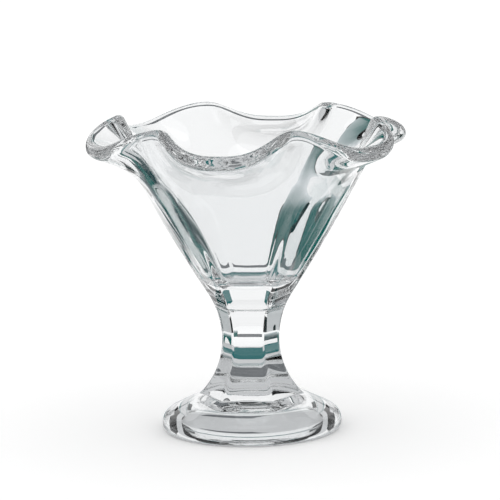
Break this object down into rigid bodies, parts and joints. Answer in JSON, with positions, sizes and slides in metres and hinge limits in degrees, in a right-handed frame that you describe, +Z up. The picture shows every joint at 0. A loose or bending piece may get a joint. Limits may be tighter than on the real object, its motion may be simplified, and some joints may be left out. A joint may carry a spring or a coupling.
{
  "type": "parfait glass",
  "caption": "Footed dessert glass of thick clear pressed glass: flared panelled bowl with a waved, beaded rim, a waisted faceted stem and a round domed foot.",
  "frame": {"origin": "middle of the flat ring that the foot stands on", "axes": "+Z up along the stem's axis; +X through a crest of the rim, 5 degrees from a corner of the stem"},
  "size_m": [0.1218, 0.1294, 0.1262],
  "materials": {
    "clear_glass": "fire-polished"
  },
  "bodies": {
    "root": {"bowl": "clear_glass", "stem": "clear_glass", "foot": "clear_glass"}
  },
  "joints": []
}
